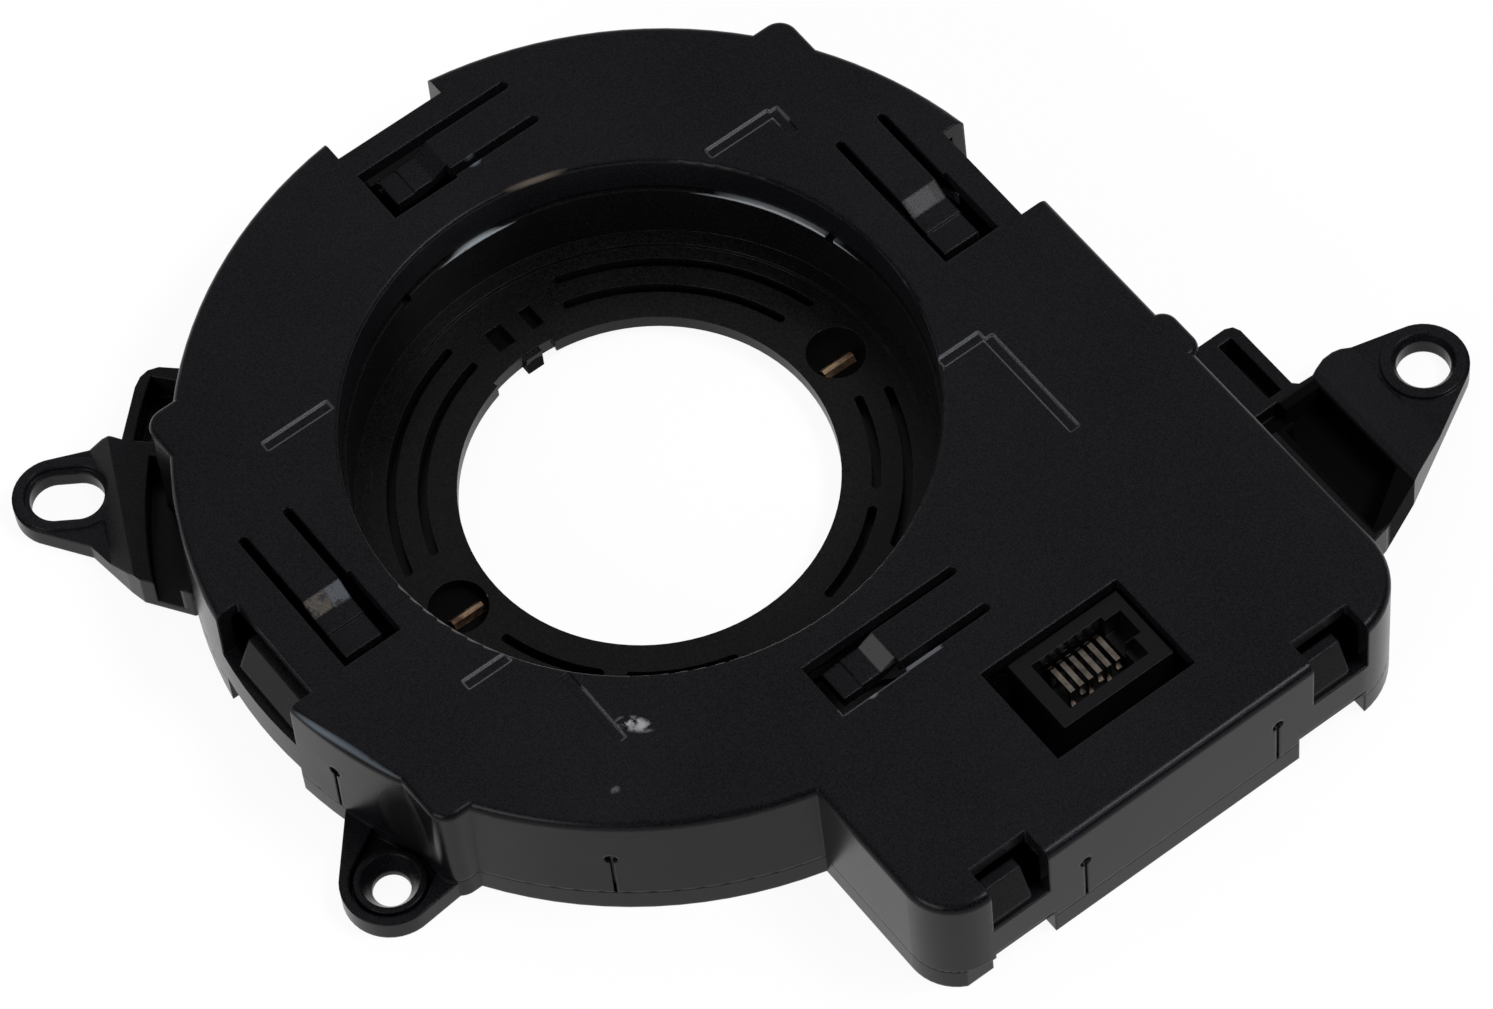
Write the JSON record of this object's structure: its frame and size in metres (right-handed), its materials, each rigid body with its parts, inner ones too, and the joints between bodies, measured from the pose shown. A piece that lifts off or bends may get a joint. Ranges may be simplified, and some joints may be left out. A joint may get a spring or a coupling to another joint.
{
  "type": "steering angle sensor",
  "caption": "Flat plastic housing round a steering shaft, with a slotted drive rotor in its hub well, a socket under a window, snap hooks and mounting ears.",
  "frame": {"origin": "on the steering shaft's axis, at the lower face of the drive ring's bore", "axes": "+Z along the shaft axis, out of the top plate; +X parallel to the wing's front wall, towards the ear with the larger hole; -Y from the shaft towards the wing with the socket"},
  "size_m": [0.1428, 0.1269, 0.0178],
  "materials": {
    "housing_black": "fine grained satin moulding",
    "rotor_black": "satin moulding, worn smooth at the rim",
    "socket_black": "satin moulding",
    "gear_dark": "dark acetal",
    "clip_copper": "bright, slightly tarnished",
    "contact_pale": "bright plated",
    "magnet_grey": "dull ground ferrite",
    "board_green": "solder mask over glass fibre",
    "chip_black": "moulded compound",
    "crystal_can": "satin can",
    "capacitor_ochre": "moulded case",
    "choke_grey": "ferrite core",
    "capacitor_brown": "ceramic"
  },
  "bodies": {
    "housing": {"cover": "housing_black", "base": "housing_black", "circuit_board": "board_green", "angle_chip_a": "chip_black", "angle_chip_b": "chip_black", "microcontroller": "chip_black", "bus_transceiver": "chip_black", "voltage_regulator": "chip_black", "crystal": "crystal_can", "bulk_capacitor": "capacitor_ochre", "line_choke": "choke_grey", "chip_capacitors": "capacitor_brown", "socket_body": "socket_black", "contact_1": "contact_pale", "contact_2": "contact_pale", "contact_3": "contact_pale", "contact_4": "contact_pale", "contact_5": "contact_pale", "contact_6": "contact_pale"},
    "rotor": {"drive_rotor": "rotor_black", "clip_east": "clip_copper", "clip_west": "clip_copper"},
    "gear_a": {"measuring_gear_a": "gear_dark", "ring_magnet_a": "magnet_grey"},
    "gear_b": {"measuring_gear_b": "gear_dark", "ring_magnet_b": "magnet_grey"}
  },
  "joints": [
    {"name": "rotor_spin", "type": "hinge", "parent": "housing", "child": "rotor", "pos_m": [0, 0, 0], "axis": [0, 0, 1], "continuous": true},
    {"name": "gear_a_spin", "type": "hinge", "parent": "housing", "child": "gear_a", "pos_m": [0, -0.047, 0.006], "axis": [0, 0, 1], "continuous": true},
    {"name": "gear_b_spin", "type": "hinge", "parent": "housing", "child": "gear_b", "pos_m": [0.02832, -0.03625, 0.006], "axis": [0, 0, 1], "continuous": true}
  ],
  "couplings": [
    {"joint": "gear_a_spin", "follows": "rotor_spin", "ratio": -3.7},
    {"joint": "gear_b_spin", "follows": "rotor_spin", "ratio": -4.1111}
  ]
}
